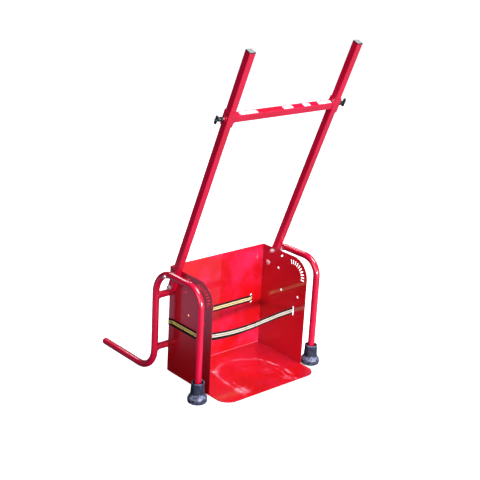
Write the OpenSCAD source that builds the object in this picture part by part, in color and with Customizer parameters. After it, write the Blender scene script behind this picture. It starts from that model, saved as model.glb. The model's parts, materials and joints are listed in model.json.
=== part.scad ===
// Tipping cradle for a bucket: a stand of bent tube, and a sheet steel cradle with two
// long handles that tips on two bolts between the stand's legs. X runs across, the open
// side of the cradle faces -Y, and the stand rests on the plane z = 0.

/* [Stand] */
// Outside diameter of the leg tubes and the cross tubes
leg_d = 25; // [22:1:27]
// Wall thickness of every tube
tube_wall = 2; // [1.5:0.5:3]
// Distance from the middle plane to the centre of each leg tube
leg_x = 269.5; // [268:0.5:276]
// Centre of the front legs, measured back from the cradle's front edge
leg_front_y = 2.5; // [0:0.5:10]
// Height of the top run's centre above the ground
leg_top_h = 408.5; // [400:0.5:415]
// Bend radius over the front legs
front_bend_r = 65; // [55:1:70]
// Bend radius over and under the rear legs
rear_bend_r = 90; // [70:1:95]
// Tail end of the floor bars, measured back from the cradle's front edge
bar_end_y = 570; // [480:5:620]
// Height of the upper cross tube's centre
upper_cross_h = 306.5; // [280:0.5:310]
// Height of the lower cross tube's centre
lower_cross_h = 107; // [100:0.5:130]

/* [Rubber feet] */
// Diameter of the foot's tread
foot_d = 70; // [60:1:72]
// Diameter of the foot's collar at its top
foot_collar_d = 46; // [40:1:48]
// Height of the foot
foot_h = 75; // [65:1:80]

/* [Cradle] */
// Outside width of the cradle
box_w = 440; // [400:1:440]
// Depth of the side panels
box_depth = 242; // [230:1:242]
// Height of the cradle above its base plate's underside
box_h = 404; // [400:1:410]
// Thickness of the folded sheet and the base plate
sheet_t = 2; // [1.5:0.5:3]
// Radius of the side panels' front top corners
panel_corner_r = 75; // [50:1:90]
// Reach of the base plate in front of the side panels
plate_reach = 89; // [70:1:110]
// Radius of the base plate's front corners
plate_corner_r = 50; // [30:1:70]
// Gap between the ground and the base plate
ground_gap = 8.5; // [7:0.5:12]

/* [Handles] */
// Side of the handles' and crossbar's square tube
bar_w = 25; // [24:0.5:25]
// Forward lean of the handles
handle_lean = 21.6; // [15:0.1:25]
// Length of a handle above the pivot
handle_up = 882; // [820:1:950]
// Length of a handle below the pivot
handle_down = 71; // [68:1:75]
// Distance of the crossbar above the pivot, along the handles
crossbar_at = 645; // [200:1:780]
// Outside width of the crossbar's sleeves
sleeve_w = 30; // [30:0.5:32]
// Length of the crossbar's sleeves
sleeve_len = 54; // [40:1:60]

/* [Pivot] */
// Distance of the pivot behind the cradle's front edge
pivot_y = 189.5; // [185:0.5:195]
// Height of the pivot above the ground
pivot_h = 400.5; // [398:0.5:404]
// Thread diameter of every bolt and stud
bolt_d = 8; // [8:1:10]
// Distance of the lower handle bolt below the pivot
lower_bolt_drop = 57.5; // [50:0.5:60]

/* [Strap] */
// Height of the strap's centre
strap_h = 202; // [180:1:230]
// Width of the strap
strap_w = 25; // [20:1:30]
// Thickness of the strap
strap_t = 2.4; // [1.5:0.1:3]

/* [Hidden] */
$fn = 64;

paint = "#c4122e";
rubber = "#23282e";
steel = "#b9bcc0";

small = 0.1;                                  // overlap of cutting tools
bar_h = leg_d / 2;                            // centre of the bars that rest on the ground
cross_gap = 0.5;                              // back panel to cross tubes
leg_rear_y = box_depth + cross_gap + leg_d / 2;
leg_end_h = 8;                                // the legs stop above the foot's base
foot_washer_t = 3;
bar_cap_t = 4;
handle_x = (box_w + bar_w) / 2;
handle_outer_x = handle_x + bar_w / 2;
box_top_h = ground_gap + box_h;
plate_rear_r = 3;                             // radius of the base plate's rear corners

bolt_r = bolt_d / 2;
pivot_clear = 0.06;                           // radial clearance where the cradle turns
bolt_clear = 0.25;                            // radial clearance of the fixed bolts
turn_gap = 0.3;                               // side gap between turning faces
hex_w = bolt_d * 1.625;                       // across flats: 13 mm on M8
head_t = 5.3;
nut_t = 6.5;
lock_nut_t = 8;
washer_t = 1.6;
washer_r = 8.4;
dome_r = 10.5;                                // lower bolts' domed heads
dome_t = 4.5;
spacer_r = 9;

cap_lip = 6;                                  // full height of the domed cap
cap_sphere_r = 40;
cap_insert = 15;
sleeve_wall = 2;
sleeve_outer_x = handle_x + sleeve_w / 2;
stud_in = 17;                                 // stud's length inside the knob
knob_gap = 12.5;                              // weld nut's seat to the knob's hub
hub_r = 8;
hub_len = 20;
wing_r = 4.5;
wing_span = 32;

tip_drop = cap_sphere_r - sqrt(pow(cap_sphere_r, 2) - pow(bar_w / 2, 2));
front_y = -(handle_up + cap_lip - tip_drop) * sin(handle_lean)
          - bar_w / 2 * cos(handle_lean) + pivot_y;
rear_y = bar_end_y + bar_cap_t;
centre_y = (front_y + rear_y) / 2;

// ---------------------------------------------------------------- shared shapes

// Puts the drawing frame (y = 0 at the cradle's front edge) over the part's origin.
module placed() { translate([0, -centre_y, 0]) children(); }

// The frame that leans with the handles: +Z up the handle, zero at the pivot.
module on_handles() { placed() translate([0, pivot_y, pivot_h]) rotate([handle_lean, 0, 0]) children(); }

// Draws a right-hand piece on the side asked for: 1 is right, -1 is left.
module on_side(side) { mirror([side < 0 ? 1 : 0, 0, 0]) children(); }

// Stands what is drawn along +Z out along +X from a distance x.
module along_x(x) { translate([x, 0, 0]) rotate([0, 90, 0]) children(); }

module rounded_square(w, r) {
    square([w - 2 * r, w], center = true);
    square([w, w - 2 * r], center = true);
    for (sx = [-1, 1], sy = [-1, 1]) translate([sx * (w / 2 - r), sy * (w / 2 - r)]) circle(r);
}

module square_tube(w, wall, len) {
    linear_extrude(len) difference() {
        rounded_square(w, wall + 0.5);
        rounded_square(w - 2 * wall, 0.5);
    }
}

module hex(w, t) { cylinder(d = w / cos(30), h = t, $fn = 6); }

module washer() {
    difference() {
        cylinder(r = washer_r, h = washer_t);
        translate([0, 0, -small]) cylinder(r = bolt_r + bolt_clear, h = washer_t + 2 * small);
    }
}

module nut(t) {
    difference() {
        intersection() {
            hex(hex_w, t);
            translate([0, 0, t / 2 - 2 * hex_w]) cylinder(r1 = 0, r2 = hex_w * 4, h = hex_w * 4);
            cylinder(r = hex_w * 0.56, h = t);
        }
        translate([0, 0, -small]) cylinder(r = bolt_r, h = t + 2 * small);
    }
}

// A slot with round ends that stands up in a panel: width, height, cutting depth.
module slot_cutter(w, h, depth) {
    for (s = [-1, 1]) translate([0, s * (h - w) / 2, 0]) cylinder(d = w, h = depth, center = true, $fn = 32);
    cube([w, h - w, depth], center = true);
}

// ---------------------------------------------------------------- the stand

module elbow(y, z, r, start, d) {
    translate([0, y, z]) rotate([90, 0, 90]) rotate([0, 0, start])
        rotate_extrude(angle = 90) translate([r, 0]) circle(d = d);
}

// The leg's line as a solid round bar: up, over, down and back along the ground.
module leg_line(d, extra) {
    top_z = leg_top_h - front_bend_r;
    rear_z = leg_top_h - rear_bend_r;
    low_z = bar_h + rear_bend_r;
    low_y = leg_rear_y + rear_bend_r;
    translate([0, leg_front_y, leg_end_h - extra]) cylinder(d = d, h = top_z - leg_end_h + extra);
    elbow(leg_front_y + front_bend_r, top_z, front_bend_r, 90, d);
    translate([0, leg_front_y + front_bend_r, leg_top_h]) rotate([-90, 0, 0])
        cylinder(d = d, h = leg_rear_y - rear_bend_r - leg_front_y - front_bend_r);
    elbow(leg_rear_y - rear_bend_r, rear_z, rear_bend_r, 0, d);
    translate([0, leg_rear_y, low_z]) cylinder(d = d, h = rear_z - low_z);
    elbow(low_y, low_z, rear_bend_r, 180, d);
    translate([0, low_y, bar_h]) rotate([-90, 0, 0]) cylinder(d = d, h = bar_end_y - low_y + extra);
}

module leg_tube(side) {
    color(paint) on_side(side) placed() translate([leg_x, 0, 0]) difference() {
        leg_line(leg_d, 0);
        leg_line(leg_d - 2 * tube_wall, small);
        translate([0, pivot_y, pivot_h]) along_x(-leg_d) cylinder(r = bolt_r, h = 2 * leg_d);
    }
}

module cross_tube(h) {
    half = leg_x;
    color(paint) placed() translate([0, leg_rear_y, h]) difference() {
        along_x(-half) cylinder(d = leg_d, h = 2 * half);
        along_x(-half - small) cylinder(d = leg_d - 2 * tube_wall, h = 2 * half + 2 * small);
        for (side = [-1, 1]) translate([side * half, 0, -leg_d]) cylinder(d = leg_d, h = 2 * leg_d);
    }
}

// A flared ferrule with a tapered collar; the leg ends on a steel washer inside it.
module rubber_foot(side) {
    r = foot_d / 2;
    c = foot_collar_d / 2;
    tread_h = 16;
    shoulder = 2;
    collar_taper = 2.5;
    flare_r = r - c - collar_taper - shoulder;
    mouth_depth = 14;
    mouth_r = c - 4;
    color(rubber) on_side(side) placed() translate([leg_x, leg_front_y, 0]) difference() {
        union() {
            cylinder(r1 = r - 2.5, r2 = r, h = 3);
            translate([0, 0, 3]) cylinder(r = r, h = tread_h - 3);
            translate([0, 0, tread_h]) cylinder(r1 = r, r2 = r - shoulder, h = 3);
            translate([0, 0, tread_h + 3]) rotate_extrude() difference() {
                square([r - shoulder, flare_r]);
                translate([r - shoulder, flare_r]) circle(flare_r);
            }
            translate([0, 0, tread_h]) cylinder(r1 = c + collar_taper, r2 = c, h = foot_h - tread_h);
        }
        translate([0, 0, leg_end_h - foot_washer_t]) cylinder(d = leg_d, h = foot_h);
        translate([0, 0, foot_h - mouth_depth]) cylinder(r = mouth_r, h = mouth_depth + small);
        for (ring_r = [14, 21, 28]) rotate_extrude() translate([ring_r, -small]) square([3, 2 + small]);
    }
}

module foot_washers() {
    for (side = [-1, 1])
        color(steel) on_side(side) placed() translate([leg_x, leg_front_y, leg_end_h - foot_washer_t])
            cylinder(d = leg_d - 0.4, h = foot_washer_t);
}

// A pressed steel cap with a domed face, welded over the floor bar's end.
module bar_end_cap(side) {
    r = leg_d / 2;
    dome = (r * r + bar_cap_t * bar_cap_t) / (2 * bar_cap_t);
    color(paint) on_side(side) placed() translate([leg_x, bar_end_y, bar_h]) rotate([-90, 0, 0])
        intersection() {
            cylinder(r = r, h = bar_cap_t);
            translate([0, 0, bar_cap_t - dome]) sphere(dome);
        }
}

// ---------------------------------------------------------------- the pivot

module at_pivot(side) { on_side(side) placed() translate([0, pivot_y, pivot_h]) children(); }

module pivot_bolt(side) {
    head_x = leg_x + leg_d / 2;
    tip_x = box_w / 2 - sheet_t - turn_gap - washer_t - lock_nut_t - 2;
    color(steel) at_pivot(side) {
        along_x(tip_x) cylinder(r = bolt_r, h = head_x - tip_x);
        along_x(head_x) intersection() {
            hex(hex_w, head_t);
            cylinder(r1 = hex_w * 0.56 + head_t, r2 = hex_w * 0.5, h = head_t);
        }
    }
}

module pivot_spacers() {
    start = handle_outer_x + turn_gap;
    for (side = [-1, 1]) color(steel) difference() {
        at_pivot(side) along_x(start) cylinder(r = spacer_r, h = leg_x - start);
        at_pivot(side) along_x(start - small) cylinder(r = bolt_r, h = leg_x);
        on_side(side) placed() translate([leg_x, 0, 0]) leg_line(leg_d, 0);
    }
}

module pivot_washers() {
    for (side = [-1, 1]) color(steel) at_pivot(side)
        along_x(box_w / 2 - sheet_t - turn_gap - washer_t) washer();
}

module pivot_nuts() {
    for (side = [-1, 1]) color(steel) at_pivot(side)
        along_x(box_w / 2 - sheet_t - turn_gap - washer_t - lock_nut_t) nut(lock_nut_t);
}

// ---------------------------------------------------------------- the cradle

hole_r = 4.25;                                // free holes in the side panels
panel_holes = [[42, 262], [130.5, 262.5], [153, 343]];   // y back from the edge, height
oblong_at = [138, 394.5];
oblong = [6, 14];
oblong_turn = 55;
side_slot_y = 60;
side_slot = [8, 36];
back_slot_x = 169;
back_slot = [11, 36];
arc_slots = 10;                               // plain slots that fan round the top corner
arc_slot = [5, 18];
arc_slot_r = panel_corner_r - 23;
arc_start = 78;
arc_step = 11.8;

plate_top_h = ground_gap + sheet_t;
panel_h = box_top_h - plate_top_h;
lower_bolt_at = [pivot_y + lower_bolt_drop * sin(handle_lean), pivot_h - lower_bolt_drop * cos(handle_lean)];

// Cuts through a side panel at a depth y and a height z.
module through_side(y, z) { translate([box_w / 2, y, z]) rotate([90, 0, 90]) children(); }

// What is left outside the round front top corner.
module corner_cut() {
    r = panel_corner_r;
    translate([box_w / 2 - 2 * sheet_t, 0, box_top_h - r]) difference() {
        translate([0, -small, 0]) cube([4 * sheet_t, r + small, r + small]);
        translate([-small, r, 0]) rotate([0, 90, 0]) cylinder(r = r, h = 5 * sheet_t, $fn = 96);
    }
}

module side_panel(side) {
    cut = 4 * sheet_t;
    color(paint) on_side(side) placed() difference() {
        translate([box_w / 2 - sheet_t, 0, plate_top_h]) cube([sheet_t, box_depth - sheet_t, panel_h]);
        corner_cut();
        through_side(pivot_y, pivot_h) cylinder(r = bolt_r + pivot_clear, h = cut, center = true);
        through_side(lower_bolt_at[0], lower_bolt_at[1])
            cylinder(r = bolt_r + bolt_clear, h = cut, center = true);
        for (p = panel_holes) through_side(p[0], p[1]) cylinder(r = hole_r, h = cut, center = true);
        through_side(oblong_at[0], oblong_at[1]) rotate([0, 0, oblong_turn])
            slot_cutter(oblong[0], oblong[1], cut);
        through_side(side_slot_y, strap_h) slot_cutter(side_slot[0], side_slot[1], cut);
        for (i = [0 : arc_slots - 1])
            through_side(panel_corner_r, box_top_h - panel_corner_r) rotate([0, 0, arc_start + i * arc_step])
                translate([arc_slot_r, 0]) rotate([0, 0, 90]) slot_cutter(arc_slot[0], arc_slot[1], cut);
    }
}

module back_panel() {
    color(paint) placed() difference() {
        translate([-box_w / 2, box_depth - sheet_t, plate_top_h]) cube([box_w, sheet_t, panel_h]);
        for (s = [-1, 1]) translate([s * back_slot_x, box_depth, strap_h]) rotate([90, 0, 0])
            slot_cutter(back_slot[0], back_slot[1], 6 * sheet_t);
    }
}

module base_plate() {
    w = box_w / 2;
    r = plate_corner_r;
    color(paint) placed() translate([0, 0, ground_gap]) linear_extrude(sheet_t) {
        translate([-w, r - plate_reach]) square([2 * w, box_depth + plate_reach - r - plate_rear_r]);
        translate([r - w, -plate_reach]) square([2 * (w - r), r]);
        translate([plate_rear_r - w, box_depth - plate_rear_r])
            square([2 * (w - plate_rear_r), plate_rear_r]);
        for (s = [-1, 1]) {
            translate([s * (w - r), r - plate_reach]) circle(r);
            translate([s * (w - plate_rear_r), box_depth - plate_rear_r]) circle(plate_rear_r);
        }
    }
}

// ---------------------------------------------------------------- the handles

module handle(side) {
    color(paint) on_side(side) on_handles() difference() {
        translate([handle_x, 0, -handle_down]) square_tube(bar_w, tube_wall, handle_down + handle_up);
        along_x(handle_x - bar_w) cylinder(r = bolt_r + pivot_clear, h = 2 * bar_w);
        translate([0, 0, -lower_bolt_drop]) along_x(handle_x - bar_w)
            cylinder(r = bolt_r + bolt_clear, h = 2 * bar_w);
    }
}

module handle_cap(side) {
    color(rubber) on_side(side) on_handles() translate([handle_x, 0, handle_up]) {
        intersection() {
            linear_extrude(cap_lip) rounded_square(bar_w, tube_wall + 0.5);
            translate([0, 0, cap_lip - cap_sphere_r]) sphere(cap_sphere_r, $fn = 96);
        }
        translate([0, 0, -cap_insert]) square_tube(bar_w - 2 * tube_wall - 0.2, 2, cap_insert);
    }
}

// Stands what is drawn along +Z out from a distance x, at the lower handle bolt.
module at_lower_bolt(side, x) {
    on_side(side) on_handles() translate([0, 0, -lower_bolt_drop]) along_x(x) children();
}

module handle_bolts() {
    inside = box_w / 2 - sheet_t;
    dome = (dome_r * dome_r + dome_t * dome_t) / (2 * dome_t);
    shank = handle_outer_x - inside + washer_t + nut_t + 0.5;
    for (side = [-1, 1]) color(steel) {
        at_lower_bolt(side, inside) cylinder(r = bolt_r, h = shank);
        at_lower_bolt(side, inside - dome_t) intersection() {
            cylinder(r = dome_r, h = dome_t);
            translate([0, 0, dome]) sphere(dome);
        }
    }
}

module handle_bolt_washers() {
    for (side = [-1, 1]) color(steel) at_lower_bolt(side, handle_outer_x) washer();
}

module handle_bolt_nuts() {
    for (side = [-1, 1]) color(steel) at_lower_bolt(side, handle_outer_x + washer_t) nut(nut_t);
}

// ---------------------------------------------------------------- the strap

strap_gap = 0.3;
strap_side_x = box_w / 2 + strap_gap + strap_t / 2;
strap_back_y = box_depth + strap_gap + strap_t / 2;
strap_inner_y = box_depth - sheet_t - strap_gap - strap_t / 2;
right_end = [strap_side_x, 61.5];
left_end = [-strap_side_x, 61];
bow = [[80, 64], [-90, 3]];                   // the front run bows forward, more on the left
bow_steps = 14;
turn_steps = 4;

function bezier(a, b, c, d, t) =
    a * pow(1 - t, 3) + b * 3 * t * pow(1 - t, 2) + c * 3 * t * t * (1 - t) + d * pow(t, 3);
function unit(v) = v / norm(v);
// Rounds the corner b of the line a, b, c with radius r.
function turn(a, b, c, r) =
    let (u = unit(a - b), v = unit(c - b), reach = r * sqrt((1 + u * v) / (1 - u * v)))
    [for (i = [0 : turn_steps]) let (t = i / turn_steps)
        (b + u * reach) * pow(1 - t, 2) + b * 2 * t * (1 - t) + (b + v * reach) * t * t];
front_run = [for (i = [1 : bow_steps - 1]) bezier(right_end, bow[0], bow[1], left_end, i / bow_steps)];
left_back = [-strap_side_x, strap_back_y];
right_back = [strap_side_x, strap_back_y];
left_out = [-back_slot_x - 4, strap_back_y];
left_in = [-back_slot_x + 4, strap_inner_y];
right_in = [back_slot_x - 4, strap_inner_y];
right_out = [back_slot_x + 4, strap_back_y];
strap_line = concat(
    turn([strap_side_x, box_depth], right_end, front_run[0], 4),
    front_run,
    turn(front_run[bow_steps - 2], left_end, left_back, 4),
    turn(left_end, left_back, left_out, 2),
    turn(left_back, left_out, left_in, 3),
    turn(left_out, left_in, right_in, 3),
    turn(left_in, right_in, right_out, 3),
    turn(right_in, right_out, right_back, 3),
    turn(right_out, right_back, right_end, 2)
);
// The line moved sideways by a distance, for the strap's two faces.
function beside(line, side) = [for (i = [0 : len(line) - 1])
    let (
        n = len(line),
        a = unit(line[i] - line[(i + n - 1) % n]),
        b = unit(line[(i + 1) % n] - line[i]),
        m = unit([-(a[1] + b[1]), a[0] + b[0]])
    )
    line[i] + m * side / (m * [-a[1], a[0]])];

module retaining_strap() {
    color("#2a2a26") placed() translate([0, 0, strap_h - strap_w / 2]) linear_extrude(strap_w) difference() {
        polygon(beside(strap_line, strap_t / 2));
        polygon(beside(strap_line, -strap_t / 2));
    }
}

// ---------------------------------------------------------------- the crossbar

module on_crossbar() { on_handles() translate([0, 0, crossbar_at]) children(); }

module crossbar() {
    half = handle_x - sleeve_w / 2;
    color(paint) on_crossbar() along_x(-half) square_tube(bar_w, tube_wall, 2 * half);
}

module crossbar_sleeve(side) {
    color(paint) on_side(side) on_crossbar() difference() {
        translate([handle_x, 0, -sleeve_len / 2]) square_tube(sleeve_w, sleeve_wall, sleeve_len);
        along_x(handle_x) cylinder(r = bolt_r + bolt_clear, h = sleeve_w);
    }
}

module clamp_nuts() {
    for (side = [-1, 1]) color(paint) on_side(side) on_crossbar() along_x(sleeve_outer_x) difference() {
        hex(hex_w, nut_t);
        translate([0, 0, -small]) cylinder(r = bolt_r + pivot_clear, h = nut_t + 2 * small);
    }
}

label_t = 0.4;
label_w = 20;
label_spans = [[-192, -119], [-6, 35], [85, 113], [152, 212]];   // blank, along the bar's top

module bar_labels() {
    for (span = label_spans) color("white") on_crossbar()
        translate([span[0], -label_w / 2 + 1, bar_w / 2]) cube([span[1] - span[0], label_w, label_t]);
}

module at_clamp(side, x) { on_side(side) on_crossbar() along_x(x) children(); }

module clamp_stud(side) {
    tip_x = handle_outer_x + 0.2;
    color(steel) at_clamp(side, tip_x)
        cylinder(r = bolt_r, h = sleeve_outer_x + knob_gap + stud_in - tip_x);
}

module wing_knob(side) {
    arm = (wing_span - 2 * wing_r) / 2;
    color(rubber) at_clamp(side, sleeve_outer_x + knob_gap) difference() {
        union() {
            cylinder(r1 = hub_r - 1, r2 = hub_r, h = 2);
            translate([0, 0, 2]) cylinder(r = hub_r, h = hub_len - 2);
            translate([0, 0, hub_len]) cylinder(r1 = hub_r, r2 = hub_r - 3, h = 6);
            translate([0, 0, hub_len + 2]) rotate([0, 90, 0]) {
                translate([0, 0, -arm]) cylinder(r = wing_r, h = 2 * arm);
                for (s = [-1, 1]) translate([0, 0, s * arm]) sphere(wing_r + 0.7);
            }
        }
        translate([0, 0, -small]) cylinder(r = bolt_r + pivot_clear, h = stud_in + 0.3 + small);
    }
}

// ---------------------------------------------------------------- what is drawn

leg_tube(-1);  // leg_tube_left
leg_tube(1);  // leg_tube_right
cross_tube(upper_cross_h);  // cross_tube_upper
cross_tube(lower_cross_h);  // cross_tube_lower
rubber_foot(-1);  // rubber_foot_left
rubber_foot(1);  // rubber_foot_right
foot_washers();
bar_end_cap(-1);  // bar_end_cap_left
bar_end_cap(1);  // bar_end_cap_right
pivot_bolt(-1);  // pivot_bolt_left
pivot_bolt(1);  // pivot_bolt_right
pivot_spacers();
pivot_washers();
pivot_nuts();
back_panel();
side_panel(-1);  // side_panel_left
side_panel(1);  // side_panel_right
base_plate();
handle(-1);  // handle_left
handle(1);  // handle_right
handle_cap(-1);  // handle_cap_left
handle_cap(1);  // handle_cap_right
handle_bolts();
handle_bolt_washers();
handle_bolt_nuts();
retaining_strap();
crossbar();
crossbar_sleeve(-1);  // crossbar_sleeve_left
crossbar_sleeve(1);  // crossbar_sleeve_right
clamp_nuts();
bar_labels();
clamp_stud(-1);  // clamp_stud_left
clamp_stud(1);  // clamp_stud_right
wing_knob(-1);  // wing_knob_left
wing_knob(1);  // wing_knob_right
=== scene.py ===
import json
import math
import random

import bpy
from mathutils import Matrix, Vector


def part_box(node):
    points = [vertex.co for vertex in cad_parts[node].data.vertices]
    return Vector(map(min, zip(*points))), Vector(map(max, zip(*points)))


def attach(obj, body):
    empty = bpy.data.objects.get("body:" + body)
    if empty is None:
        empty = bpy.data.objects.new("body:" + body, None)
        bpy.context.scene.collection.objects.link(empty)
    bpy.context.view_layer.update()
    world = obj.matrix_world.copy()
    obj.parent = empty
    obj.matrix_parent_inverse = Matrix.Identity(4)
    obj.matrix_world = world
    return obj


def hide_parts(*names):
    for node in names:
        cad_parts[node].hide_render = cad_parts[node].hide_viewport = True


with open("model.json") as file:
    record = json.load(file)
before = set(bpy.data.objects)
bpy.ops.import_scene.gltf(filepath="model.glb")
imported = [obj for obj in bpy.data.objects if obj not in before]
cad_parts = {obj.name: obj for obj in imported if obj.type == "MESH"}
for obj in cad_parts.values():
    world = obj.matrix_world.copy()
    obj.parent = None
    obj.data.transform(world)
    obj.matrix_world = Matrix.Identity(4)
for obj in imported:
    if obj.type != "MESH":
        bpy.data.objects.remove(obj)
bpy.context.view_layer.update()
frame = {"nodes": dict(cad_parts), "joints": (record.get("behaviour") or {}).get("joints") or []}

MM = 0.001
random.seed(7)

# ---------------------------------------------------------------- shader maths


class Value:
    """A socket of a material or of the world, so that shader maths reads as a sum."""

    def __init__(self, maker, socket):
        self.maker, self.socket = maker, socket

    def maths(self, operation, *terms):
        return self.maker.node("Math", {"operation": operation}, dict(enumerate(terms)))

    def __add__(self, other):
        return self.maths("ADD", self, other)

    __radd__ = __add__

    def __sub__(self, other):
        return self.maths("SUBTRACT", self, other)

    def __rsub__(self, other):
        return self.maths("SUBTRACT", other, self)

    def __mul__(self, other):
        return self.maths("MULTIPLY", self, other)

    __rmul__ = __mul__

    def __abs__(self):
        return self.maths("ABSOLUTE", self)

    def power(self, exponent):
        return self.maths("POWER", self, exponent)

    def wave(self):
        return self.maths("SINE", self)

    def least(self, other):
        return self.maths("MINIMUM", self, other)

    def most(self, other):
        return self.maths("MAXIMUM", self, other)

    def ramp(self, low, high, start=0.0, end=1.0):
        """Rises smoothly from start to end as the value goes from low to high."""
        settings = {"interpolation_type": "SMOOTHSTEP"}
        return self.maker.node("MapRange", settings, {0: self, 1: low, 2: high, 3: start, 4: end})


class Finish:
    """A material, or the world, built from nodes; owner is what it goes on, if not a new material."""

    def __init__(self, name, owner=None):
        self.owner = owner or bpy.data.materials.new(name)
        self.owner.use_nodes = True
        self.tree = self.owner.node_tree
        self.tree.nodes.clear()

    def node(self, kind, settings=None, inputs=None, output=0):
        made = self.tree.nodes.new("ShaderNode" + kind)
        for key, value in (settings or {}).items():
            setattr(made, key, value)
        for key, value in (inputs or {}).items():
            if isinstance(value, Value):
                self.tree.links.new(value.socket, made.inputs[key])
            elif value is not None:
                made.inputs[key].default_value = value
        return Value(self, made.outputs[output]) if made.outputs else None

    def place(self):
        """The point on the piece, in metres."""
        return self.node("TexCoord", output="Object")

    def stretched(self, vector, scale):
        return self.node("Mapping", {}, {"Vector": vector, "Scale": scale})

    def axis(self, vector, letter):
        return self.node("SeparateXYZ", {}, {0: vector}, output=letter)

    def noise(self, vector, scale, detail=2.0, roughness=0.5, distortion=0.0):
        inputs = {"Vector": vector, "Scale": scale, "Detail": detail}
        inputs.update({"Roughness": roughness, "Distortion": distortion})
        return self.node("TexNoise", {}, inputs)

    def cells(self, vector, scale):
        return self.node("TexVoronoi", {"feature": "F1"}, {"Vector": vector, "Scale": scale})

    def vector_maths(self, operation, first, second):
        """A number from two vectors, such as their dot product."""
        inputs = {0: first, 1: second}
        return self.node("VectorMath", {"operation": operation}, inputs, output="Value")

    def mix(self, factor, first, second):
        return self.node("Mix", {"data_type": "RGBA"}, {0: factor, 6: first, 7: second}, output=2)

    def bump(self, height, strength, distance, normal=None):
        inputs = {"Height": height, "Strength": strength, "Distance": distance, "Normal": normal}
        return self.node("Bump", {}, inputs)

    def soft_edges(self, radius):
        return self.node("Bevel", {"samples": 4}, {"Radius": radius})

    def edges(self, radius):
        """1 along outside edges and corners, 0 on flat and evenly curved faces."""
        true = self.node("NewGeometry", output="Normal")
        facing = self.vector_maths("DOT_PRODUCT", self.soft_edges(radius), true)
        return facing.ramp(0.80, 0.97, 1.0, 0.0)

    def surface(self, **sockets):
        """Ends the material in one shader; a socket's name has its spaces as underscores."""
        named = {key.replace("_", " "): value for key, value in sockets.items()}
        shader = self.node("BsdfPrincipled", {}, named)
        self.node("OutputMaterial", {}, {"Surface": shader})
        return self.owner


def rgb(red, green, blue):
    return (red, green, blue, 1.0)


# ---------------------------------------------------------------- finishes

RUBY = rgb(0.56, 0.0006, 0.0045)
# the sheet's red darkened for the side panels, as painted shade
SHADED_RUBY = rgb(0.46, 0.0005, 0.0070)
# pale rose red for the weld along the back of the base plate, a painted highlight
HIGHLIGHT_ROSE = rgb(0.78, 0.16, 0.24)
CRIMSON = rgb(0.56, 0.0010, 0.0360)
# pale chalky red with more blue, used for chalking and worn paint, and also as painted sheen and painted
# edge highlight
CHALK_AND_SHEEN_RUBY = rgb(0.64, 0.0210, 0.1020)
CHALK = rgb(0.82, 0.42, 0.50)


def ruby_paint(name, red, edge, chalk_and_sheen, scuffs=None, gloss=0.035):
    """Glossy red enamel: slightly uneven colour, orange peel, fine scratches and dust, a chalky film that
    also stands in as painted sheen, and pale edges that are partly worn and partly a painted highlight.
    """
    m = Finish(name)
    place = m.place()
    broad = m.noise(place, 5.0, 3.0)
    patchy = m.noise(place, 38.0, 4.0, 0.6)
    deep = rgb(red[0] * 0.84, red[1] * 0.6, red[2] * 0.6)
    colour = m.mix(broad.ramp(0.35, 0.65), deep, red)
    # a chalky film in cloudy patches; where it is strong, as on the back panel, it is also painted sheen
    # from the front light
    cloud = m.noise(place, 7.0, 5.0, 0.65).ramp(0.38, 0.68) * (0.5 + 0.5 * patchy)
    colour = m.mix(cloud * chalk_and_sheen, colour, CHALK_AND_SHEEN_RUBY)
    specks = m.noise(place, 420.0, 2.0).ramp(0.70, 0.80) * patchy.ramp(0.45, 0.7) * 0.3
    colour = m.mix(specks, colour, CHALK)
    # edges paler in broken runs: partly worn paint, partly a painted highlight along the edges
    worn_and_highlit_edges = m.edges(1.4 * MM) * m.noise(place, 90.0, 3.0).ramp(0.35, 0.60)
    colour = m.mix(worn_and_highlit_edges * 0.45, colour, CHALK_AND_SHEEN_RUBY)
    rough = 0.26 + 0.10 * patchy + 0.3 * specks
    coat = 1.0 - 0.5 * specks
    if scuffs:
        worn = scuffs(m, place)
        colour = m.mix(worn, colour, m.mix(worn, CHALK_AND_SHEEN_RUBY, CHALK))
        rough = rough + 0.3 * worn
        coat = coat - 0.7 * worn
    peel = m.noise(place, 260.0, 1.0)
    scratch_place = m.stretched(place, (40.0, 900.0, 40.0))
    scratches = m.noise(scratch_place, 1.0, 1.0).ramp(0.62, 0.70)
    rounded = m.soft_edges(edge)
    skin = m.bump(peel * 0.8 + scratches * 0.15, 0.25, 0.08 * MM, rounded)
    return m.surface(
        Base_Color=colour, Roughness=rough, Normal=skin, Coat_Weight=coat,
        Coat_Roughness=gloss, Coat_IOR=1.5, IOR=1.5,
    )


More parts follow.
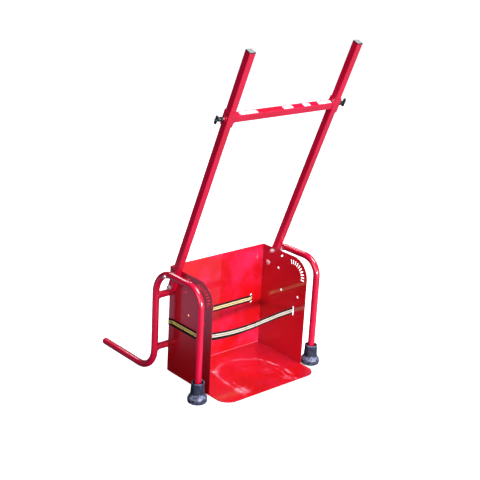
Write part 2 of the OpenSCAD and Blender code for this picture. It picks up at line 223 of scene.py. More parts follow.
def bucket_scuffs(m, place):
    """Pale marks that buckets leave on the base plate as they are pushed in and out, in metres."""
    x, y = m.axis(place, "X"), m.axis(place, "Y")
    drift = (m.noise(place, 8.0, 2.0) - 0.5) * 0.018 + (m.noise(place, 45.0, 3.0) - 0.5) * 0.005
    broken = m.noise(place, 17.0, 4.0, 0.6).ramp(0.40, 0.60)
    mottled = m.noise(place, 60.0, 4.0, 0.7).ramp(0.38, 0.66)
    right, left = 1, -1

    def away(centre):
        """Distance from a centre, made a little uneven."""
        return ((x - centre[0]).power(2.0) + (y - centre[1]).power(2.0)).power(0.5) + drift

    def rubbed(centre, radius, width, ends, side):
        """A bundle of hair-like lines along part of a circle, on one side of its middle."""
        off = away(centre) - radius
        track = m.node("CombineXYZ", {}, {"X": off * 900, "Y": y * 14, "Z": x * 14})
        hairs = m.noise(track, 1.0, 3.0).ramp(0.40, 0.62)
        kept = y.ramp(ends[0], ends[0] + 0.05) * y.ramp(ends[1] - 0.04, ends[1], 1.0, 0.0)
        kept = kept * ((x - centre[0]) * side).ramp(0.0, 0.03)
        return abs(off).ramp(0.0, width, 1.0, 0.0) * (0.30 + 0.70 * hairs) * kept

    def patch(centre, size):
        """A blotch where the bottom of a bucket has stood."""
        return away(centre).ramp(0.2 * size, size, 1.0, 0.0) * mottled

    # the sides of the buckets' track, each with a thinner run inside it
    worn = rubbed((-0.093, -0.203), 0.231, 0.011, (-0.330, -0.060), right) * broken
    worn += rubbed((-0.093, -0.193), 0.208, 0.006, (-0.300, -0.110), right) * (1 - broken) * 0.7
    worn += rubbed((0.334, -0.215), 0.447, 0.012, (-0.300, -0.050), left) * (0.35 + 0.65 * broken)
    worn += rubbed((0.334, -0.235), 0.425, 0.006, (-0.290, -0.160), left) * (1 - broken) * 0.8
    # the round end of the track, where buckets stop
    for side in (left, right):
        worn += rubbed((0.005, -0.163), 0.116, 0.014, (-0.120, 0.010), side) * 0.55
    # spots where buckets were set down
    worn += patch((0.073, -0.187), 0.034) * 0.35 + patch((-0.095, -0.085), 0.034) * 0.65
    worn += patch((-0.103, -0.258), 0.042) * 0.65 + patch((0.098, -0.271), 0.036) * 0.45
    # straight drags between them
    drags = m.noise(m.stretched(place, (190.0, 5.0, 5.0)), 1.0, 3.0).ramp(0.60, 0.72)
    worn += drags * broken * x.ramp(-0.15, -0.11) * x.ramp(0.10, 0.14, 1.0, 0.0) * 0.25
    return worn.least(1.0)


def foot_rubber(name):
    """Moulded rubber with a smooth dark skin, dust on its ledges and near the floor, and a pale bluish
    painted highlight round the shoulder.
    """
    m = Finish(name)
    place = m.place()
    cloudy = m.noise(place, 22.0, 3.0)
    grain = m.noise(place, 1300.0, 2.0)
    dents = m.noise(place, 55.0, 2.0)
    z = m.axis(place, "Z")
    low = z.ramp(0.002, 0.030, 1.0, 0.0)
    # the band round the shoulder is painted paler and bluer as a painted highlight
    shoulder_highlight = z.ramp(0.014, 0.021) * z.ramp(0.027, 0.036, 1.0, 0.0)
    ledge = z.ramp(0.069, 0.0735)
    colour = m.mix(cloudy.ramp(0.3, 0.7), rgb(0.003, 0.006, 0.016), rgb(0.009, 0.015, 0.036))
    mottled = m.noise(place, 85.0, 4.0, 0.65).ramp(0.36, 0.62)
    # dust near the floor and on the top ledge, and the shoulder's painted highlight
    dust_and_highlight = (low * 0.30 + ledge * 0.55 + shoulder_highlight * 0.75 + 0.10) * mottled
    colour = m.mix(dust_and_highlight, colour, rgb(0.20, 0.23, 0.34))
    return m.surface(
        Base_Color=colour, Roughness=0.27 + 0.10 * cloudy + 0.2 * dust_and_highlight, IOR=1.52,
        Normal=m.bump(grain * 0.06 + dents, 0.22, 0.5 * MM, m.soft_edges(0.5 * MM)),
    )


def black_plastic(name, dusty_above=None):
    """Moulded plastic; dusty_above is a distance along the handles that dust has settled beyond."""
    m = Finish(name)
    place = m.place()
    cloudy = m.noise(place, 60.0, 3.0)
    grain = m.cells(place, 2600.0)
    colour = m.mix(cloudy, rgb(0.004, 0.005, 0.007), rgb(0.014, 0.015, 0.019))
    rough = 0.24 + 0.14 * cloudy
    if dusty_above is not None:
        along = m.vector_maths("DOT_PRODUCT", place, tuple(UP))
        film = (along - dusty_above).ramp(0.0, 0.5 * MM) * (0.80 + 0.20 * m.noise(place, 240.0, 4.0, 0.7))
        colour = m.mix(film, colour, rgb(0.22, 0.24, 0.23))
        rough = rough + 0.3 * film
    return m.surface(
        Base_Color=colour, Roughness=rough, Normal=m.bump(grain, 0.15, 0.03 * MM), IOR=1.5,
    )


def zinc_plate(name):
    m = Finish(name)
    place = m.place()
    cloudy = m.noise(place, 90.0, 3.0)
    spangle = m.cells(place, 700.0)
    colour = m.mix(cloudy, rgb(0.66, 0.66, 0.69), rgb(0.88, 0.87, 0.86))
    return m.surface(
        Base_Color=colour, Metallic=0.85, Roughness=0.30 + 0.22 * cloudy,
        Normal=m.bump(spangle, 0.1, 0.04 * MM, m.soft_edges(0.3 * MM)),
    )


def strap_webbing(name):
    """Elastic webbing: black edges, a cream middle with a dark line, and a ribbed weave."""
    m = Finish(name)
    across = m.node("UVMap", {"uv_map": "webbing"})
    u, v = m.axis(across, "X"), m.axis(across, "Y")
    middle = abs(u - 0.5)
    place = m.place()
    fuzz = (m.noise(place, 1500.0, 2.0) - 0.5) * 0.03
    cream = (middle + fuzz).ramp(0.215, 0.255, 1.0, 0.0)
    line = (middle + fuzz).ramp(0.034, 0.066, 1.0, 0.0)
    ribs = (v * (2 * math.pi / (1.6 * MM))).wave() * 0.5 + 0.5
    ends = (u * (2 * math.pi * 16)).wave() * 0.5 + 0.5
    soiled = m.noise(place, 45.0, 3.0)
    # the front run is painted paler cream, a painted highlight for the strong light on it; behind the bow
    # and round the left it stays yellower
    behind_the_bow = m.axis(place, "Y").ramp(-0.14, -0.11)
    round_the_left = m.axis(place, "X").ramp(-0.2215, -0.2190, 1.0, 0.0)
    yellower_away_from_lit_front = (behind_the_bow * 0.55).most(round_the_left)
    light = m.mix(yellower_away_from_lit_front, rgb(0.70, 0.67, 0.55), rgb(0.95, 0.82, 0.20))
    light = m.mix(soiled.ramp(0.40, 0.75) * 0.35, light, rgb(0.50, 0.45, 0.24))
    light = m.mix(line * 0.9, light, rgb(0.07, 0.055, 0.02))
    colour = m.mix(cream, rgb(0.003, 0.003, 0.005), light)
    # darker in the grooves between the ribs, as painted shade
    colour = m.mix((1 - ribs) * 0.35, colour, rgb(0.02, 0.02, 0.02))
    return m.surface(
        Base_Color=colour, Roughness=0.78 + 0.1 * soiled, IOR=1.3,
        Normal=m.bump(ribs * 0.7 + ends * ribs * 0.5, 0.7, 0.25 * MM),
    )


def label_film(name):
    m = Finish(name)
    place = m.place()
    cloudy = m.noise(place, 40.0, 3.0)
    grime = m.noise(place, 220.0, 4.0).ramp(0.60, 0.75)
    colour = m.mix(cloudy, rgb(0.90, 0.90, 0.90), rgb(0.84, 0.84, 0.83))
    colour = m.mix(grime * 0.3, colour, rgb(0.45, 0.42, 0.40))
    return m.surface(
        Base_Color=colour, Roughness=0.32 + 0.2 * cloudy, Coat_Weight=0.4, Coat_Roughness=0.15,
        Normal=m.bump(cloudy, 0.2, 0.1 * MM),
    )


# ---------------------------------------------------------------- places, from the frame

joints = {joint["name"]: joint for joint in frame["joints"]}
ACROSS = Vector((1, 0, 0))
UP = Vector(joints["crossbar_slide"]["axis"]).normalized()      # up along the handles
BEHIND = UP.cross(ACROSS)                                       # square to the handles, backwards
PIVOT = Vector(joints["cradle_tilt"]["pos_m"])
PANEL_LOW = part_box("side_panel_right")[0]
BACK_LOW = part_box("back_panel")[0]
BASE_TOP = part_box("base_plate")[1].z
STRAP_LOW, STRAP_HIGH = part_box("retaining_strap")
SIDES = {"left": -1, "right": 1}


def middle(node):
    low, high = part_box(node)
    return (low + high) / 2


# ---------------------------------------------------------------- mesh making


def new_object(name, points, faces, finish):
    mesh = bpy.data.meshes.new(name)
    mesh.from_pydata([tuple(point) for point in points], [], faces)
    mesh.validate()
    mesh.update()
    mesh.materials.append(finish)
    made = bpy.data.objects.new(name, mesh)
    bpy.context.scene.collection.objects.link(made)
    return made


def piece(name, points, faces, body, finish, smooth=True):
    """A new mesh object in the row frame that rides on a body."""
    made = new_object(name, points, faces, finish)
    for polygon in made.data.polygons:
        polygon.use_smooth = smooth
    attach(made, body)
    return made


def round_angles(count):
    return [2 * math.pi * i / count for i in range(count)]


def ring_faces(rings, count, closed=False):
    """Faces between rings of count points each, and over both ends where the run isn't closed."""
    faces = []
    for i in range(rings if closed else rings - 1):
        a, b = i * count, (i + 1) % rings * count
        for j in range(count):
            k = (j + 1) % count
            faces.append((a + j, a + k, b + k, b + j))
    if not closed:
        last = (rings - 1) * count
        faces.append(tuple(reversed(range(count))))
        faces.append(tuple(range(last, last + count)))
    return faces


def lathe(profile, steps):
    """Turns (radius, height) pairs about the Z axis; ends at radius AXIS close the shape."""
    return loft([[Vector((radius * math.cos(a), radius * math.sin(a), height)) for a in round_angles(steps)]
                 for radius, height in profile])


def corner_curve(start, corner, end, steps):
    """A smooth curve from start to end, pulled towards the corner."""
    shares = [i / steps for i in range(steps + 1)]
    return [start * (1 - t) ** 2 + corner * 2 * t * (1 - t) + end * t * t for t in shares]


def rounded_profile(outline, radius, steps=4):
    """Rounds the corners of a (radius, height) outline, leaving its two ends."""
    made = [Vector(outline[0])]
    for before, here, after in zip(outline, outline[1:], outline[2:]):
        before, here, after = Vector(before), Vector(here), Vector(after)
        reach = min(radius, (before - here).length * 0.48, (after - here).length * 0.48)
        start = here + (before - here).normalized() * reach
        end = here + (after - here).normalized() * reach
        made += corner_curve(start, here, end, steps)
    made.append(Vector(outline[-1]))
    return [tuple(point) for point in made]


def rounded_square(width, depth, radius, steps=5):
    """A closed outline in X and Y with round corners, counter-clockwise."""
    outline = []
    x, y = width / 2 - radius, depth / 2 - radius
    for quarter, centre in enumerate([(x, y), (-x, y), (-x, -y), (x, -y)]):
        for i in range(steps + 1):
            angle = math.pi / 2 * (quarter + i / steps)
            outline.append(Vector(centre) + Vector((math.cos(angle), math.sin(angle))) * radius)
    return outline


def loft(rings):
    """Joins closed rings of equal length and closes both ends."""
    points = [point for ring in rings for point in ring]
    return points, ring_faces(len(rings), len(rings[0]))


def moved(points, matrix):
    return [matrix @ Vector(point) for point in points]


def standing(origin, x_axis, y_axis, z_axis):
    """The matrix that takes a drawing's own axes to these, from origin."""
    turn = Matrix((x_axis, y_axis, z_axis)).transposed().to_4x4()
    return Matrix.Translation(origin) @ turn


def joined(parts):
    """Several (points, faces) as one."""
    points, faces = [], []
    for more_points, more_faces in parts:
        offset = len(points)
        points += list(more_points)
        faces += [tuple(i + offset for i in face) for face in more_faces]
    return points, faces


def bead(path, closed, radius=2.4 * MM, around=8):
    """A run of weld along a path: a round bar whose thickness ripples."""
    count = len(path)
    points = []
    ripple = random.random() * 6
    ripple_length = 1.1 * MM
    run = 0.0
    for i, point in enumerate(path):
        before = path[(i - 1) % count] if closed or i else point
        after = path[(i + 1) % count] if closed or i < count - 1 else point
        along = (after - before).normalized()
        side = along.orthogonal() if i == 0 else (side - along * side.dot(along))
        side.normalize()
        third = along.cross(side)
        run += (point - before).length
        swell = 0.16 * math.sin(run / ripple_length + ripple)
        thick = radius * (1.0 + swell + 0.1 * random.uniform(-1, 1))
        if not closed and i in (0, count - 1):
            thick *= 0.35
        points += [point + (side * math.cos(a) + third * math.sin(a)) * thick for a in round_angles(around)]
    return points, ring_faces(count, around, closed)


def evenly(path, spacing, closed=False):
    """The same line with points at an even spacing."""
    line = list(path) + ([path[0]] if closed else [])
    lengths = [(b - a).length for a, b in zip(line, line[1:])]
    count = max(2, round(sum(lengths) / spacing))
    made, seg, gone = [], 0, 0.0
    for i in range(count if closed else count + 1):
        want = sum(lengths) * i / count
        while seg < len(lengths) - 1 and gone + lengths[seg] < want:
            gone += lengths[seg]
            seg += 1
        t = 0 if lengths[seg] == 0 else (want - gone) / lengths[seg]
        made.append(line[seg].lerp(line[seg + 1], min(1.0, t)))
    return made


def finish_nodes(material, *names):
    for name in names:
        made = frame["nodes"][name]
        if not made.material_slots:
            made.data.materials.append(material)
        for holder in made.material_slots:
            holder.link = "OBJECT"
            holder.material = material


# ---------------------------------------------------------------- the pieces

AXIS = 0.1 * MM             # a radius small enough to close a turned shape


def make_feet(finish):
    for side in SIDES:
        node = f"rubber_foot_{side}"
        low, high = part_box(node)
        centre = middle(node)
        tread, top = (high.x - low.x) / 2, high.z
        collar = tread - 12.0 * MM
        tube, seat = 12.62 * MM, 8.2 * MM
        outline = [
            # the tread
            (tread - 2.5 * MM, 0.0), (tread - 0.9 * MM, 1.5 * MM), (tread - 0.9 * MM, 6.0 * MM),
            (tread, 7.0 * MM), (tread, 16.0 * MM),
            # the shoulder
            (tread - 1.4 * MM, 20.5 * MM), (tread - 7.0 * MM, 28.0 * MM),
            # the collar and its rim
            (collar + 2.4 * MM, 31.5 * MM), (collar + 2.0 * MM, 36.0 * MM),
            (collar + 0.2 * MM, top - 5.0 * MM), (collar, top),
            # the mouth and the socket for the tube
            (collar - 3.4 * MM, top), (collar - 4.6 * MM, top - 14.0 * MM),
            (12.7 * MM, top - 16.0 * MM), (tube, seat),
        ]
        profile = [(AXIS, 0.0)] + rounded_profile(outline, 2.2 * MM) + [(AXIS, seat)]
        points, faces = lathe(profile, 72)
        points = moved(points, Matrix.Translation((centre.x, centre.y, 0)))
        foot = piece(f"foot_{side}", points, faces, "stand", finish)
        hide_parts(node)


def make_handle_caps(finish):
    for side in SIDES:
        node = f"handle_cap_{side}"
        tube_low, tube_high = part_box(f"handle_{side}")
        width = tube_high.x - tube_low.x
        # heights above the tube's end, and how far the cap is set in there: the lip, then a low crown
        levels = [(0.0, 0.15), (0.25, 0.0), (2.3, 0.0), (2.9, 0.35)]
        levels += [(3.0 + 1.0 * math.sin(a), 0.9 + 10.0 * (1 - math.cos(a)))
                   for a in (math.pi / 2 * i / 9 for i in range(1, 10))]
        rings = []
        for height, inset in levels:
            size = width - 2 * inset * MM
            corner = min(size / 2 * 0.98, (2.5 + inset * 0.75) * MM)
            outline = rounded_square(size, size, corner)
            rings.append([Vector((p.x, p.y, height * MM)) for p in outline])
        points, faces = loft(rings)
        origin = handle_end(side)
        origin.x = (tube_low.x + tube_high.x) / 2
        points = moved(points, standing(origin, ACROSS, BEHIND, UP))
        cap = piece(f"end_cap_{side}", points, faces, "cradle", finish)
        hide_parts(node)


def handle_end(side):
    """Where a handle ends, on the line up from the pivot."""
    mesh = frame["nodes"][f"handle_{side}"].data
    reach = max((v.co - PIVOT).dot(UP) for v in mesh.vertices)
    return PIVOT + UP * reach


def knob_wing(way, span, depth):
    """Half of a knob's wing: a rounded bar that widens and thickens outwards."""
    rings = []
    for i in range(15):
        t = i / 14
        end = math.sqrt(max(0.02, 1 - t ** 7))
        half_w = (4.6 + 1.2 * math.sin(math.pi * min(1, t * 0.95))) * MM * end
        half_t = (3.6 + 1.5 * t * t) * MM * end
        lift = depth - 5.4 * MM + 0.6 * MM * t
        rings.append([Vector((half_w * math.cos(a), way * span * t, lift + half_t * math.sin(a)))
                      for a in round_angles(16)])
    return loft(rings)


def make_knobs(finish):
    for side, sign in SIDES.items():
        node = f"wing_knob_{side}"
        low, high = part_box(node)
        centre = middle(node)
        seat = high.x if sign < 0 else low.x
        out = Vector((sign, 0, 0))
        depth = high.x - low.x
        span = 16.0 * MM
        hub = lathe(rounded_profile([
            (AXIS, 0.0), (7.0 * MM, 0.0), (8.0 * MM, 1.6 * MM), (8.0 * MM, 10.0 * MM),
            (6.6 * MM, 14.0 * MM), (6.2 * MM, depth - 6 * MM), (4.0 * MM, depth), (AXIS, depth),
        ], 0.9 * MM), 32)
        points, faces = joined([hub, knob_wing(-1, span, depth), knob_wing(1, span, depth)])
        points = moved(points, standing(Vector((seat, centre.y, centre.z)), UP.cross(out), UP, out))
        knob = piece(f"knob_{side}", points, faces, f"knob_{side}", finish)
        blend_solid(knob, voxel=0.7 * MM, rounds=4)
        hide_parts(node)


def blend_solid(obj, voxel, rounds):
    """Melts overlapping solids into one moulded skin."""
    remesh = obj.modifiers.new("melt", "REMESH")
    remesh.mode = "VOXEL"
    remesh.voxel_size = voxel
    remesh.use_smooth_shade = True
    smooth = obj.modifiers.new("soften", "SMOOTH")
    smooth.factor = 0.5
    smooth.iterations = rounds
    depsgraph = bpy.context.evaluated_depsgraph_get()
    mesh = bpy.data.meshes.new_from_object(obj.evaluated_get(depsgraph))
    old = obj.data
    obj.modifiers.clear()
    obj.data = mesh
    bpy.data.meshes.remove(old)


STRAP_T = 2.4 * MM          # both layers of the band
SLOT_X = 169 * MM           # the slots in the back panel, from the middle
FRONT_RUN = 58 * MM         # the strap's front run is less than this behind the panels' front edges


def bezier(a, b, c, d, t):
    return (a * (1 - t) ** 3 + b * 3 * t * (1 - t) ** 2 + c * 3 * t * t * (1 - t) + d * t ** 3)


def rounded_turn(a, b, c, radius):
    """The corner at b, rounded, as a few points from its a side to its c side."""
    u, v = (a - b).normalized(), (c - b).normalized()
    reach = radius * math.sqrt((1 + u.dot(v)) / (1 - u.dot(v)))
    return corner_curve(b + u * reach, b, b + v * reach, 6)


def strap_route():
    """The band's plan: across the front, back along both sides and through the back panel."""
    front = PANEL_LOW.y
    side = STRAP_HIGH.x - STRAP_T / 2
    back = STRAP_HIGH.y - STRAP_T / 2
    inner = BACK_LOW.y - 0.3 * MM - STRAP_T / 2

    def at(x, y):
        return Vector((x, y))

    right, left = at(side, front + 61.5 * MM), at(-side, front + 61 * MM)
    bows = at(80 * MM, front + 64 * MM), at(-90 * MM, front + 3 * MM)
    run = [bezier(right, bows[0], bows[1], left, i / 40) for i in range(1, 40)]
    left_back, right_back = at(-side, back), at(side, back)
    left_out, left_in = at(-SLOT_X - 4 * MM, back), at(-SLOT_X + 4 * MM, inner)
    right_in, right_out = at(SLOT_X - 4 * MM, inner), at(SLOT_X + 4 * MM, back)
    route = rounded_turn(at(side, back), right, run[0], 4 * MM) + run
    route += rounded_turn(run[-1], left, left_back, 4 * MM)
    route += rounded_turn(left, left_back, left_out, 2 * MM)
    route += rounded_turn(left_back, left_out, left_in, 3 * MM)
    route += rounded_turn(left_out, left_in, right_in, 3 * MM)
    route += rounded_turn(left_in, right_in, right_out, 3 * MM)
    route += rounded_turn(right_in, right_out, right_back, 3 * MM)
    route += rounded_turn(right_out, right_back, right, 2 * MM)
    return [Vector((p.x, p.y, 0)) for p in route]


def webbing_band(name, line, closed, width, half_t, shift, lift, finish):
    """A band of webbing with rounded selvedges along a line in plan.

    shift moves it out from the line; lift gives its height at a point and a distance run."""
    # shares of the width and of half the thickness, round the band
    section = [(-0.5, 0.0), (-0.495, 0.62), (-0.47, 0.93), (-0.38, 1.0), (-0.2, 0.94), (0.0, 0.9),
               (0.2, 0.94), (0.38, 1.0), (0.47, 0.93), (0.495, 0.62), (0.5, 0.0)]
    section += [(u, -n) for u, n in reversed(section[1:-1])]
    points, runs, run = [], [], 0.0
    count = len(line)
    for i, point in enumerate(line):
        before = line[i - 1] if closed or i else point
        after = line[(i + 1) % count] if closed or i < count - 1 else point
        along = (after - before).normalized()
        out = Vector((along.y, -along.x, 0))
        if i:
            run += (point - line[i - 1]).length
        runs.append(run)
        for u, n in section:
            points.append(point + out * (shift + n * half_t) + Vector((0, 0, lift(point, run) + u * width)))
    faces = ring_faces(count, len(section), closed)
    band = piece(name, points, faces, "cradle", finish)
    layer = band.data.uv_layers.new(name="webbing")
    total = run + (line[0] - line[-1]).length
    for polygon in band.data.polygons:
        rings = [band.data.loops[i].vertex_index // len(section) for i in polygon.loop_indices]
        wraps = max(rings) - min(rings) > 1
        for loop_index, ring in zip(polygon.loop_indices, rings):
            vertex = band.data.loops[loop_index].vertex_index
            along_run = total if wraps and ring == 0 else runs[ring]
            layer.data[loop_index].uv = (section[vertex % len(section)][0] + 0.5, along_run)
    return band


def make_strap(finish):
    """The elastic strap: a closed loop, with its sewn end doubled inside it round the left."""
    route = strap_route()
    line = []
    for a, b in zip(route, route[1:] + route[:1]):
        steps = max(1, int((b - a).length / (6 * MM)))
        line += [a.lerp(b, i / steps) for i in range(steps)]
    width = STRAP_HIGH.z - STRAP_LOW.z
    middle_z = (STRAP_HIGH.z + STRAP_LOW.z) / 2
    layer = STRAP_T / 4

    def sagging(point, run):
        if point.y >= PANEL_LOW.y + FRONT_RUN:
            return middle_z
        return middle_z - 1.6 * MM * math.exp(-((point.x + 60 * MM) / (120 * MM)) ** 2)

    strap = webbing_band("strap", line, True, width, layer, layer, sagging, finish)
    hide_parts("retaining_strap")
    start = next(i for i, p in enumerate(line) if p.x < 20 * MM and p.y < PANEL_LOW.y + FRONT_RUN)
    end = next(i for i, p in enumerate(line) if i > start and p.y > BACK_LOW.y - 12 * MM)
    tail = line[start:end]

    def peeping(point, run):
        return sagging(point, run) + 4.6 * MM * min(1.0, run / 0.20) ** 0.8

    webbing_band("strap_tail", tail, False, width, layer * 0.92, -layer, peeping, finish)


def make_labels(finish):
    """Blank stickers with round corners, one over each of the thin plates on the crossbar.

    They are a little narrower than the plates, and line up with the plates' front edges."""
    narrowed = 0.82
    node = frame["nodes"]["bar_labels"]
    bar = middle("crossbar")
    xs = sorted({round(v.co.x, 5) for v in node.data.vertices})
    depths = [(v.co - bar).dot(BEHIND) for v in node.data.vertices]
    heights = [(v.co - bar).dot(UP) for v in node.data.vertices]
    depth, seat = (max(depths) - min(depths)) * narrowed, min(heights)
    shift = min(depths) + depth / 2
    parts = []
    for start, end in zip(xs[0::2], xs[1::2]):
        outline = rounded_square(end - start, depth, 2.0 * MM, 4)
        centre = bar + UP * seat + BEHIND * shift
        centre.x = (start + end) / 2
        at = standing(centre, ACROSS, BEHIND, UP)
        rings = [[Vector((p.x * share, p.y * share, height)) for p in outline]
                 for share, height in ((1.0, 0.02 * MM), (1.0, 0.22 * MM), (0.99, 0.27 * MM))]
        points, faces = loft(rings)
        parts.append((moved(points, at), faces))
    points, faces = joined(parts)
    labels = piece("labels", points, faces, "crossbar", finish, smooth=False)
    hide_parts("bar_labels")


def make_tube_welds(finish):
    """Weld round the ends of the two cross tubes, where they meet the rear legs."""
    parts = []
    for name in ("upper", "lower"):
        low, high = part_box(f"cross_tube_{name}")
        centre = (low + high) / 2
        r = (high.z - low.z) / 2
        out = r + 0.9 * MM
        for side, sign in SIDES.items():
            leg_x = middle(f"leg_tube_{side}").x
            path = []
            for a in round_angles(72):
                reach = r * abs(math.sin(a)) + 1.6 * MM
                path.append(Vector((leg_x - sign * reach, centre.y + out * math.cos(a),
                                    centre.z + out * math.sin(a))))
            parts.append(bead(evenly(path, 1.1 * MM, True), True, 1.7 * MM))
    points, faces = joined(parts)
    piece("cross_tube_welds", points, faces, "stand", finish)


def make_crossbar_welds(finish):
    """Weld round the crossbar's ends and round the clamp nuts, on the sleeves."""
    bar_low, bar_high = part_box("crossbar")
    centre = middle("crossbar")
    width = 26.6 * MM
    parts = []
    for side, sign in SIDES.items():
        x = bar_high.x if sign > 0 else bar_low.x
        outline = rounded_square(width, width, 2.8 * MM)
        at = standing(Vector((x - sign * 0.9 * MM, centre.y, centre.z)), BEHIND, UP, ACROSS)
        path = [at @ Vector((p.x, p.y, 0)) for p in outline]
        parts.append(bead(evenly(path, 1.1 * MM, True), True, 1.9 * MM))
        sleeve_low, sleeve_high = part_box(f"crossbar_sleeve_{side}")
        face = sleeve_high.x if sign > 0 else sleeve_low.x
        at = standing(Vector((face + sign * 0.5 * MM, centre.y, centre.z)), BEHIND, UP, ACROSS)
        ring = [at @ Vector((8.3 * MM * math.cos(a), 8.3 * MM * math.sin(a), 0)) for a in round_angles(48)]
        parts.append(bead(evenly(ring, 1.0 * MM, True), True, 1.4 * MM))
    points, faces = joined(parts)
    piece("crossbar_welds", points, faces, "crossbar", finish)


def make_cradle_welds(highlight_finish, finish):
    """Weld where the folded sheet stands on the base plate; the bead along the back is painted paler as a
    painted highlight.
    """
    z = BASE_TOP + 0.6 * MM
    back = BACK_LOW.y - 0.5 * MM
    inside = PANEL_LOW.x - 0.5 * MM
    run = evenly([Vector((-inside, back, z)), Vector((inside, back, z))], 1.4 * MM)
    points, faces = bead(run, False, 1.1 * MM, 6)
    piece("back_weld", points, faces, "cradle", highlight_finish)
    parts = []
    for sign in SIDES.values():
        run = [Vector((sign * inside, PANEL_LOW.y + 2 * MM, z)), Vector((sign * inside, back, z))]
        parts.append(bead(evenly(run, 1.4 * MM), False, 1.1 * MM, 6))
    points, faces = joined(parts)
    piece("side_welds", points, faces, "cradle", finish)


# ---------------------------------------------------------------- putting it together

tube_paint = ruby_paint("crimson paint on tube", CRIMSON, 0.3 * MM, 0.15)
bar_paint = ruby_paint("crimson paint on square tube", CRIMSON, 0.5 * MM, 0.12)
# The side panels and the back panel are one folded sheet: the side panels get a darker red and little chalk
# as painted shade, the back panel much chalk that is partly painted sheen.
shaded_sheet_paint = ruby_paint("ruby paint on sheet with painted shade", SHADED_RUBY, 0.5 * MM, 0.04)
back_paint = ruby_paint("chalky ruby paint with painted sheen", RUBY, 0.5 * MM, 0.85)
base_paint = ruby_paint("scuffed ruby paint", RUBY, 0.6 * MM, 0.30, bucket_scuffs, 0.09)
seam_highlight_paint = ruby_paint("rose ruby paint with painted highlight", HIGHLIGHT_ROSE, 0.3 * MM, 0.20)
rubber = foot_rubber("foot rubber")
plastic = black_plastic("black plastic")
cap_plastic = black_plastic("black plastic dusted on top", handle_end("left").dot(UP) + 3.1 * MM)
zinc = zinc_plate("bright zinc plate")
webbing = strap_webbing("striped elastic webbing")
film = label_film("white label film")

finish_nodes(tube_paint, "leg_tube_left", "leg_tube_right", "cross_tube_upper", "cross_tube_lower",
             "bar_end_cap_left", "bar_end_cap_right")
finish_nodes(bar_paint, "handle_left", "handle_right", "crossbar", "crossbar_sleeve_left",
             "crossbar_sleeve_right", "clamp_nuts")
finish_nodes(shaded_sheet_paint, "side_panel_left", "side_panel_right")
finish_nodes(back_paint, "back_panel")
finish_nodes(base_paint, "base_plate")
finish_nodes(zinc, "pivot_bolt_left", "pivot_bolt_right", "pivot_spacers", "pivot_washers", "pivot_nuts",
             "handle_bolts", "handle_bolt_washers", "handle_bolt_nuts", "clamp_stud_left",
             "clamp_stud_right", "foot_washers")

make_feet(rubber)
make_handle_caps(cap_plastic)
make_knobs(plastic)
make_strap(webbing)
make_labels(film)
make_tube_welds(tube_paint)
make_crossbar_welds(bar_paint)
make_cradle_welds(seam_highlight_paint, shaded_sheet_paint)

# ---------------------------------------------------------------- floor, light and camera


def flat_sheet(name, low, high, height, finish):
    """A level rectangle between two corners, given as (x, y)."""
    points = [(low[0], low[1], height), (high[0], low[1], height),
              (high[0], high[1], height), (low[0], high[1], height)]
    return new_object(name, points, [(0, 1, 2, 3)], finish)


def make_floor():
    """A pale floor, bright enough that only a faint shadow shows on it."""
    m = Finish("pale floor")
    tone = m.noise(m.place(), 0.7, 2.0)
    pale = m.mix(tone, rgb(0.86, 0.86, 0.86), rgb(0.84, 0.84, 0.85))
    m.surface(Base_Color=pale, Roughness=0.7, Emission_Color=pale, Emission_Strength=1.08)
    floor = flat_sheet("floor", (-40.0, -40.0), (40.0, 40.0), 0, m.owner)
    floor.visible_diffuse = floor.visible_glossy = False


def make_card():
    """A glowing card on the floor to the left, a hidden lamp seen only as a haze in the paint above it."""
    m = Finish("glowing card")
    off = m.vector_maths("DISTANCE", m.place(), (-0.80, 0.48, 0.0))
    pale = m.mix(off.ramp(0.15, 0.62), rgb(0.85, 0.60, 1.0), rgb(0.0, 0.0, 0.0))
    m.surface(Base_Color=rgb(0, 0, 0), Roughness=1.0, Emission_Color=pale, Emission_Strength=0.50)
    card = flat_sheet("card", (-1.6, -0.4), (0.0, 1.4), MM, m.owner)
    card.visible_camera = card.visible_diffuse = False
    card.visible_shadow = card.visible_transmission = False


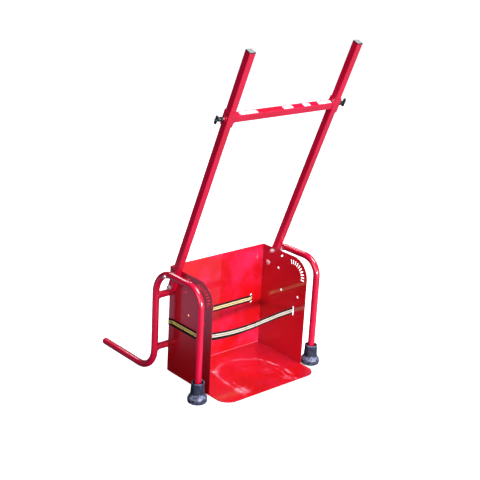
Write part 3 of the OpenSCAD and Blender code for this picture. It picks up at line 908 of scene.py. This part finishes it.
def make_world():
    """Dim surroundings with two brighter parts, and a white backdrop that only the camera sees."""
    world = bpy.data.worlds.new("studio")
    bpy.context.scene.world = world
    m = Finish("studio", world)
    way = m.node("TexCoord", output="Generated")

    def glow(towards, low, high, strength):
        return m.vector_maths("DOT_PRODUCT", way, towards).ramp(low, high) * strength

    window = glow((-0.51, -0.62, 0.60), 0.1, 0.9, 0.15)
    bright = 0.03 + window + glow((0.56, -0.80, -0.22), 0.55, 0.95, 0.45)
    dim = m.node("Background", {}, {"Color": rgb(0.80, 0.80, 1.0), "Strength": bright})
    white = m.node("Background", {}, {"Color": rgb(1.0, 1.0, 1.0), "Strength": 1.0})
    seen = m.node("LightPath", output="Is Camera Ray")
    m.node("OutputWorld", {}, {"Surface": m.node("MixShader", {}, {0: seen, 1: dim, 2: white})})


def outward(azimuth, elevation):
    """The way out from the object, in degrees round to the right from the front and up."""
    a, e = math.radians(azimuth), math.radians(elevation)
    return Vector((math.sin(a) * math.cos(e), -math.cos(a) * math.cos(e), math.sin(e)))


def softbox(name, azimuth, elevation, size, brightness, colour, distance=4.5):
    """A soft lamp; brightness is what a white card that faces it gives back."""
    way = outward(azimuth, elevation)
    data = bpy.data.lights.new(name, "AREA")
    data.shape = "RECTANGLE"
    data.size, data.size_y = size
    data.energy = brightness * (math.pi * distance) ** 2
    data.color = colour
    lamp = bpy.data.objects.new(name, data)
    lamp.location = Vector((0, 0, 0.3)) + way * distance
    lamp.rotation_mode = "QUATERNION"
    lamp.rotation_quaternion = (-way).to_track_quat("-Z", "Y")
    bpy.context.scene.collection.objects.link(lamp)


def make_camera():
    aim, distance = Vector((-0.0305, -0.1175, 0.5162)), 3.6816
    back, roll = outward(-41.48, 19.17), math.radians(3.08)
    right = Vector((0, 0, 1)).cross(back).normalized()
    up = back.cross(right)
    right, up = (right * math.cos(roll) + up * math.sin(roll),
                 up * math.cos(roll) - right * math.sin(roll))
    data = bpy.data.cameras.new("camera")
    data.sensor_width = 36.0
    data.lens = 79.19
    camera = bpy.data.objects.new("camera", data)
    camera.matrix_world = standing(aim + back * distance, right, up, back)
    bpy.context.scene.collection.objects.link(camera)
    bpy.context.scene.camera = camera


make_floor()
make_card()
make_world()
softbox("front", -9, 7.5, (1.0, 0.6), 1.28, (1.0, 0.94, 1.0))
softbox("sky", 30, 68, (2.4, 2.4), 1.38, (1.0, 0.96, 1.0))
softbox("fill", -60, 22, (3.4, 2.6), 0.35, (1.0, 0.94, 1.0))
softbox("rim", 166, 43, (2.9, 0.7), 0.26, (1.0, 0.96, 1.0))
make_camera()
bpy.context.scene.view_settings.view_transform = "Standard"
